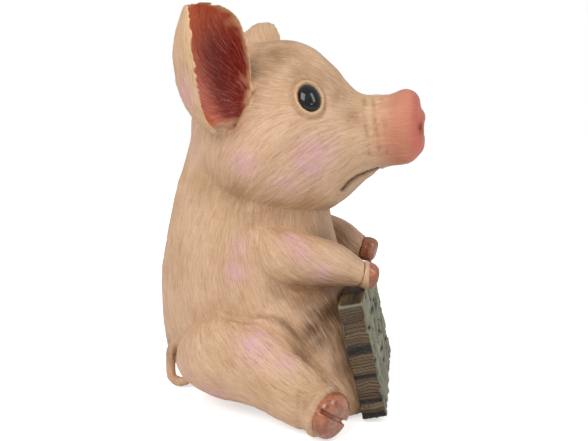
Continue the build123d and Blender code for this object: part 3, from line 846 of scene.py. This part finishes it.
def closed_piece(name, places, squares, normals, values):
    """A closed mesh from some squares of the net, its cut edge turned in, with its values."""
    used = np.unique(squares)
    renumber = np.full(len(places), -1)
    renumber[used] = np.arange(len(used))
    local = renumber[squares]
    mesh = bpy.data.meshes.new(name)
    mesh.vertices.add(len(used))
    mesh.vertices.foreach_set("co", (places[used] * MM).ravel())
    mesh.loops.add(local.size)
    mesh.loops.foreach_set("vertex_index", local.ravel())
    mesh.polygons.add(len(local))
    mesh.polygons.foreach_set("loop_start", np.arange(len(local)) * 4)
    mesh.update(calc_edges=True)
    for key, column in values.items():
        kind = "FLOAT_VECTOR" if column.ndim == 2 else "FLOAT"
        field = "vector" if column.ndim == 2 else "value"
        layer = mesh.attributes.new(key, kind, "POINT")
        layer.data.foreach_set(field, column[used].astype(np.float32).ravel())
    layer = mesh.attributes.new("facing", "FLOAT_VECTOR", "POINT")
    layer.data.foreach_set("vector", normals[used].astype(np.float32).ravel())
    work = bmesh.new()
    work.from_mesh(mesh)
    arrow = work.verts.layers.float_vector["facing"]
    edges = [edge for edge in work.edges if edge.is_boundary]
    if edges:
        made = bmesh.ops.extrude_edge_only(work, edges=edges)["geom"]
        fresh = [item for item in made if isinstance(item, bmesh.types.BMVert)]
        for vert in fresh:
            vert.co -= vert[arrow] * (turned_in * MM)
        capped(work, hub_depth * MM)
    work.to_mesh(mesh)
    work.free()
    mesh.polygons.foreach_set("use_smooth", np.ones(len(mesh.polygons), bool))
    vectors = np.zeros(len(mesh.vertices) * 3, np.float32)
    mesh.attributes["facing"].data.foreach_get("vector", vectors)
    mesh.normals_split_custom_set_from_vertices(vectors.reshape(-1, 3).tolist())
    return placed(name, mesh)


# %% Skin pieces
normal = facing(skin, quads)
owners = nearest_solid(skin[quads].mean(1))
for node in ear_roots:
    along, across, over_rim, cup = ear_measures(skin[quads].mean(1), node)
    in_cup = (along > 0) & (along < 1.05) & (np.abs(across) < 1.2) & (over_rim < 1.0) & (cup > -0.2)
    owners[in_cup] = skin_nodes.index(node)
owners = steadied(owners, quads, len(skin), 6)
zone_values = {
    "hair": fine_strokes, "flow": hair, "blush": blush_zone, "wash_and_shade": wash_and_shade_zone, "fold_shade": fold_shade_zone,
    "snout": snout_zone, "disc": disc_zone, "ear": ear_zone, "ear_shade": ear_shade, "ear_rim": ear_rim,
    "ear_glow": ear_glow, "mouth": bell(mouth_far, 0.9), "shade": shade_zone, "lid": lid_zone,
    "nostril": nostril_zone,
}
skin_pieces = {}
for number, node in enumerate(skin_nodes):
    mine = quads[owners == number]
    skin_pieces[node] = closed_piece(f"{node}_skin", skin, mine, normal, zone_values)
print("skin pieces:", len(skin_pieces))

# %% [markdown]
# ## Skin paint
# A cream tan ground coat, lilac clouds, salmon at the snout and red in the ears, with brown painted shade in
# the folds.
# The carved strokes are darker in their grooves and paler on their ridges: a thin wash and a dry-brushed
# tint, with painted shade and painted highlight.
# The finest strokes are only a bump, made of a few noise samples along the hair direction.

# %% Carved hair as a node group
hair_group = bpy.data.node_groups.new("carved_hair", "ShaderNodeTree")
for socket, way in (("Scale", "INPUT"), ("Reach", "INPUT"), ("Height", "OUTPUT")):
    hair_group.interface.new_socket(socket, in_out=way, socket_type="NodeSocketFloat")
inside = hair_group.nodes.new("NodeGroupInput")
result = hair_group.nodes.new("NodeGroupOutput")
place = add(hair_group, "ShaderNodeTexCoord").outputs["Object"]
arrow = add(hair_group, "ShaderNodeAttribute", attribute_name="flow").outputs["Vector"]
height = None
samples = 7
for step in range(samples):
    share = step / (samples - 1) * 2 - 1
    reach = times(hair_group, inside.outputs["Reach"], share)
    offset = add(hair_group, "ShaderNodeVectorMath", {0: arrow, "Scale": reach}, operation="SCALE").outputs[0]
    spot = add(hair_group, "ShaderNodeVectorMath", {0: place, 1: offset}, operation="ADD").outputs[0]
    value = noise(hair_group, inside.outputs["Scale"], 0.0, 0.5, spot)
    height = value if height is None else sums(hair_group, "ADD", height, value)
hair_group.links.new(sums(hair_group, "DIVIDE", height, samples), result.inputs["Height"])


# %% Skin paint
def skin_paint():
    """Airbrushed and washed paint on carved resin skin, with painted shade and painted highlight."""
    material, tree, shader = new_material("skin_paint", {"Specular IOR Level": 0.4})
    cloud = noise(tree, 45.0, 3.0, 0.6)
    patch = noise(tree, 120.0, 2.0, 0.6)
    stroke = add(tree, "ShaderNodeGroup", node_tree=hair_group)
    stroke.inputs["Scale"].default_value, stroke.inputs["Reach"].default_value = 1800.0, 0.0022
    fine = between(tree, stroke.outputs[0], 0.40, 0.60, -1.5, 1.5)
    colour = mixed(tree, between(tree, cloud, 0.35, 0.65), skin_tan, skin_cream)
    # olive wash on the forehead, and olive painted shade under the cheeks and at the haunch
    wash_and_shade = times(tree, attribute(tree, "wash_and_shade"), between(tree, patch, 0.3, 0.7, 0.5, 1.0), True)
    colour = mixed(tree, wash_and_shade, colour, olive_wash_and_shade)
    blush = times(tree, attribute(tree, "blush"), between(tree, patch, 0.25, 0.6, 0.35, 1.0), True)
    colour = mixed(tree, blush, colour, lilac_blush)
    # painted shade: brown in the folds and in the shaded zone
    colour = painted(tree, colour, ("fold_shade", fold_shade_brown), ("shade", painted_shade_brown))
    colour = mixed(tree, times(tree, attribute(tree, "lid"), 0.5), colour, lid_ochre)
    # the ear's hollow is terracotta, with maroon painted shade on its front side
    inner = painted(tree, ear_terracotta, ("ear_shade", ear_shade_maroon), ("ear_glow", ear_pink))
    colour = painted(tree, colour, ("snout", snout_salmon), ("disc", disc_red), ("ear", inner))
    colour = mixed(tree, times(tree, attribute(tree, "ear_rim"), 0.7), colour, rim_cream)
    carved = sums(tree, "ADD", times(tree, attribute(tree, "hair"), 0.22), fine)
    plain = between(tree, attribute(tree, "snout"), 0.1, 0.9, 0.5, 0.14)
    # darker in the grooves of the strokes and paler on their ridges: wash and dry-brushed tint, with painted
    # shade and painted highlight
    dark = times(tree, between(tree, carved, -0.2, -2.0), plain)
    colour = mixed(tree, dark, colour, mixed(tree, 1.0, colour, groove_wash_and_shade, "MULTIPLY"))
    pale = times(tree, between(tree, carved, 0.4, 2.0), times(tree, plain, 0.9))
    colour = mixed(tree, pale, colour, mixed(tree, 0.5, colour, ridge_tint_and_highlight))
    colour = painted(tree, colour, ("nostril", nostril_red), ("mouth", mouth_dark))
    tree.links.new(colour, shader.inputs["Base Color"])
    tree.links.new(between(tree, patch, 0.2, 0.8, 0.34, 0.5), shader.inputs["Roughness"])
    bumped(tree, shader, stroke.outputs[0], 0.9, 0.0005)
    return material


skin_tan, skin_cream = srgb(202, 164, 128), srgb(213, 175, 142)
# olive for the forehead wash and for painted shade under the cheeks
olive_wash_and_shade, lilac_blush = srgb(158, 122, 84), srgb(213, 164, 170)
# browns for painted shade: in the folds, and in the softer shaded zone
fold_shade_brown, painted_shade_brown = srgb(104, 68, 42), srgb(166, 122, 82)
snout_salmon, disc_red = srgb(200, 130, 102), srgb(206, 112, 92)
# maroon for the painted shade inside the ears
ear_terracotta, ear_shade_maroon, ear_pink = srgb(222, 118, 80), srgb(134, 38, 30), srgb(214, 126, 110)
lid_ochre, nostril_red = srgb(226, 194, 148), srgb(118, 44, 36)
rim_cream, mouth_dark = srgb(226, 190, 142), srgb(74, 40, 28)
# wash with painted shade for the grooves, dry-brushed tint with painted highlight for the ridges
groove_wash_and_shade, ridge_tint_and_highlight = srgb(196, 160, 124), srgb(250, 228, 196)
skin_material = skin_paint()
for node, piece in skin_pieces.items():
    dressed(piece, skin_material, node)

# %% [markdown]
# ## Eyes
# The eyes are glossy black beads set in the head. Each is an egg set a little behind its
# solid's middle, flatter outwards, with a clear varnish that catches the lamps.


# %% Eyes
def eye_paint():
    """Black bead with faint blue-grey clouds under clear varnish."""
    varnish = {"Specular IOR Level": 0.4, "Coat Weight": 0.3, "Coat Roughness": 0.03}
    material, tree, shader = new_material("eye_varnish", varnish)
    cloud = noise(tree, 180.0, 1.0)
    colour = mixed(tree, between(tree, cloud, 0.5, 0.8, 0.0, 0.5), srgb(6, 6, 8), srgb(40, 44, 54))
    tree.links.new(colour, shader.inputs["Base Color"])
    uneven(tree, shader, cloud, 0.08, 0.14)
    return material


eye_material = eye_paint()
bead_back = 0.9
for node, (middle, axes) in eyes.items():
    mesh = egg(f"{node}_bead", middle - bead_back * axes[2], axes, eye_halves)
    mesh.polygons.foreach_set("use_smooth", np.ones(len(mesh.polygons), bool))
    dressed(placed(mesh.name, mesh), eye_material, node)

# %% [markdown]
# ## Hooves
# Each hoof has two toes with a cleft between them and a thick varnish. The net of the solid
# is relaxed, so that the toes round off like modelled clay. An egg inside a rear hoof makes
# its cleft shallow towards the middle, and the near front hoof is skin-coloured at its base.


# %% Hoof varnish
def hoof_paint():
    """Terracotta paint with darker streaks, and painted shade in the cleft, under thick varnish."""
    varnish = {"Coat Weight": 0.7, "Coat Roughness": 0.12}
    material, tree, shader = new_material("hoof_varnish", varnish)
    cloud = noise(tree, 160.0, 3.0, 0.6)
    colour = mixed(tree, between(tree, cloud, 0.35, 0.65), srgb(140, 74, 40), srgb(176, 110, 78))
    # painted shade in the cleft between the toes
    colour = painted(tree, colour, ("cleft_shade", srgb(84, 34, 22)), ("sleeve", skin_tan))
    tree.links.new(colour, shader.inputs["Base Color"])
    uneven(tree, shader, cloud, 0.22, 0.34)
    bumped(tree, shader, noise(tree, 500.0, 2.0), 0.35)
    return material


# %% Hooves
def hollows(places, quads):
    """How far each point lies below the smoothed form round it."""
    smooth = melted(places, quads, 12)
    return ((smooth - places) * facing(places, quads)).sum(1)


def cleft_floor(side):
    """An egg that fills the middle of a rear hoof's cleft; side is 1 on the right, -1 on the left."""
    mirror = np.array([side, 1, 1])
    run = ankle_run * mirror
    level = unit(np.cross(run, (0, 0, 1)))
    axes = (run, level, np.cross(level, run))
    return egg("cleft_floor", ankle * mirror + floor_along * run, axes, floor_halves)


hoof_material = hoof_paint()
hoof_net, cleft_fill, sleeve_end = 0.5, 0.62, 5.2
floor_along, floor_halves = 3.0, (3.4, 9.6, 9.6)
for node in ("hoof_front_right", "hoof_front_left", "hoof_rear_right", "hoof_rear_left"):
    shape = joined_copy(node, [node])
    if node.startswith("hoof_rear"):
        shape = with_eggs(shape, [cleft_floor(1 if node.endswith("right") else -1)])
    toes, toe_quads = even_net(shape, hoof_net * MM)
    toes = relaxed(melted(toes, toe_quads, 4), toe_quads, 6)
    fill = cleft_fill * np.clip(hollows(toes, toe_quads) / 0.12, 0, 1)
    toes = toes + facing(toes, toe_quads) * fill[:, None]
    from_tip = toes[:, 1] - toes[:, 1].min()
    # the cleft mask is painted shade in the hollow between the toes
    hoof_values = {
        "cleft_shade": np.clip(hollows(toes, toe_quads) / 0.35, 0, 1),
        "sleeve": np.clip((from_tip - sleeve_end) / 0.5, 0, 1) * (node == "hoof_front_right"),
    }
    piece = closed_piece(f"{node}_toes", toes, toe_quads, facing(toes, toe_quads), hoof_values)
    dressed(piece, hoof_material, node)

# %% [markdown]
# ## Board
# The board is cast like a stack of old planks. Its end is a pile of thin wavy layers, its
# face has long grain, slits and cracks, and its colour is grey olive on the face and dark
# brown on the ends. The relief is pressed into an even net, layer by layer.

# %% Board net and local measures
board_net = 0.6
board, board_quads = even_net(joined_copy("board", ["sign_board"]), board_net * MM)
board = relaxed(board, board_quads, 2)
board_lean = math.radians(13.0)
board_up = np.array([0, math.sin(board_lean), math.cos(board_lean)])
board_out = np.array([0, -math.cos(board_lean), math.sin(board_lean)])
board_foot = np.array([0, -74.0, 3.1])
board_height, board_half = 64.6, 54.0
rise = (board - board_foot) @ board_up
depth = -(board - board_foot) @ board_out
across = board[:, 0]
facing_out = facing(board, board_quads)
print("board net:", len(board), "points")

# %% Board relief
def rows(value, size, seed):
    """Smooth random values along one measure."""
    column = np.zeros((len(value), 3))
    column[:, 0] = value
    return lattice_noise(column, size, seed)


wave_height, ridge_pitch, slit_level = 0.7, 1.7, 0.34
wave = wave_height * lattice_noise(np.stack([depth * 0.9, rise, across * 0.1], axis=1), 5.0, 5)
layer = rise + wave
end_share = np.clip((np.abs(across) - board_half + 3.0) / 1.4, 0, 1)
face_share = np.clip(1 - depth / 1.5, 0, 1) * (1 - end_share)
band = rows(layer, 3.6, 31)
ridge = np.abs(np.sin(math.pi * (layer + 0.35 * rows(layer, 2.0, 32)) / ridge_pitch)) - 0.6
step_in = 0.75 * band + 0.5 * ridge + 0.25 * rows(layer, 1.1, 33) - 0.5
slit_place = np.stack([across * 0.4, rise * 0.8, np.zeros(len(rise))], axis=1)
slits = np.clip(lattice_noise(slit_place, 2.2, 51) - slit_level, 0, 1) * 4.0
strand_place = np.stack([across * 0.6, rise * 0.16, depth * 0.1], axis=1)
face_grain = 0.45 * lattice_noise(strand_place, 1.6, 41) + 0.3 * lattice_noise(slit_place, 4.0, 42)
board = board + facing_out * (end_share * step_in)[:, None]
board = board + facing_out * (face_share * (face_grain - np.clip(slits, 0, 1.2)))[:, None]
top_share = np.clip((np.abs(rise - board_height / 2) - board_height / 2 + 1.6) / 1.2, 0, 1) * (1 - end_share)
top_place = np.stack([across * 0.06, rise * 0.1, depth], axis=1)
top_grain = 0.35 * lattice_noise(top_place, 1.1, 61) + 0.25 * lattice_noise(top_place, 2.6, 62) - 0.2
board = board + facing_out * (top_share * top_grain)[:, None]
board_values = {
    "layer": np.clip(0.62 + 1.2 * ridge, 0, 1), "band": np.clip(0.5 + 0.6 * rows(layer, 4.6, 34), 0, 1),
    "slit": np.clip(slits, 0, 1), "grain": np.clip(0.55 + face_grain, 0, 1),
    "line": np.clip(0.5 + 1.2 * top_grain, 0, 1), "end": end_share, "top": top_share,
}
print("board box:", board.min(0).round(1), board.max(0).round(1))


# %% Board paint
def board_paint():
    """Weathered wood look: grey olive face, dark brown layered ends, black slits."""
    material, tree, shader = new_material("board_paint", {})
    cloud = noise(tree, 90.0, 3.0, 0.6)
    speck = noise(tree, 900.0, 2.0, 0.6)
    face = mixed(tree, attribute(tree, "grain"), srgb(70, 68, 52), srgb(158, 154, 128))
    face = mixed(tree, between(tree, cloud, 0.4, 0.7, 0.0, 0.5), face, srgb(128, 134, 112))
    end = mixed(tree, attribute(tree, "band"), srgb(84, 64, 44), srgb(122, 102, 70))
    end = mixed(tree, between(tree, cloud, 0.4, 0.7, 0.0, 0.5), end, srgb(92, 66, 50))
    end = mixed(tree, attribute(tree, "layer"), srgb(26, 18, 14), end)
    top = mixed(tree, attribute(tree, "line"), srgb(44, 32, 14), srgb(116, 96, 52))
    colour = painted(tree, face, ("end", end), ("top", top), ("slit", srgb(18, 14, 12)))
    colour = mixed(tree, between(tree, speck, 0.55, 0.8, 0.0, 0.25), colour, srgb(150, 136, 100))
    tree.links.new(colour, shader.inputs["Base Color"])
    uneven(tree, shader, cloud, 0.5, 0.7)
    bumped(tree, shader, speck, 0.5)
    return material


plank_board = closed_piece("plank_board", board, board_quads, facing(board, board_quads), board_values)
dressed(plank_board, board_paint(), "sign_board")

# %% [markdown]
# ## Underside
# The plate that closes the hollow body keeps its solid and gets a raw resin finish. The
# felt under it is soft, so it gets its own net with a fuzzy surface.


# %% Underside
def resin_paint():
    """Unpainted resin with cast clouds."""
    material, tree, shader = new_material("raw_resin", {})
    cloud = noise(tree, 70.0, 3.0)
    colour = mixed(tree, cloud, srgb(176, 164, 146), srgb(204, 194, 176))
    tree.links.new(colour, shader.inputs["Base Color"])
    uneven(tree, shader, cloud, 0.5, 0.65)
    bumped(tree, shader, noise(tree, 400.0), 0.3)
    return material


def felt_cloth():
    """Dark pressed felt."""
    material, tree, shader = new_material("felt_cloth", {"Roughness": 0.95, "Sheen Weight": 0.3})
    fuzz = noise(tree, 1400.0, 3.0, 0.7)
    colour = mixed(tree, fuzz, srgb(22, 20, 20), srgb(52, 48, 46))
    tree.links.new(colour, shader.inputs["Base Color"])
    bumped(tree, shader, fuzz, 0.8, 0.0004)
    return material


plate = solids["closing_plate"]
plate.data.materials.clear()
plate.data.materials.append(resin_paint())
felt_net, fuzz_height = 0.5, 0.06
felt, felt_quads = even_net(joined_copy("felt", ["felt_pad"]), felt_net * MM)
felt = felt + facing(felt, felt_quads) * (fuzz_height * lattice_noise(felt, 0.9, 71))[:, None]
felt[:, 2] = np.maximum(felt[:, 2], 0.0)
felt_piece = closed_piece("felt_sheet", felt, felt_quads, facing(felt, felt_quads), {})
dressed(felt_piece, felt_cloth(), "felt_pad")

# %% [markdown]
# ## Size
# The box of the dressed figurine, without the floor, is printed.

# %% Size
low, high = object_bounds()
print("dressed box:", [round(v, 4) for v in (*low, *high)])
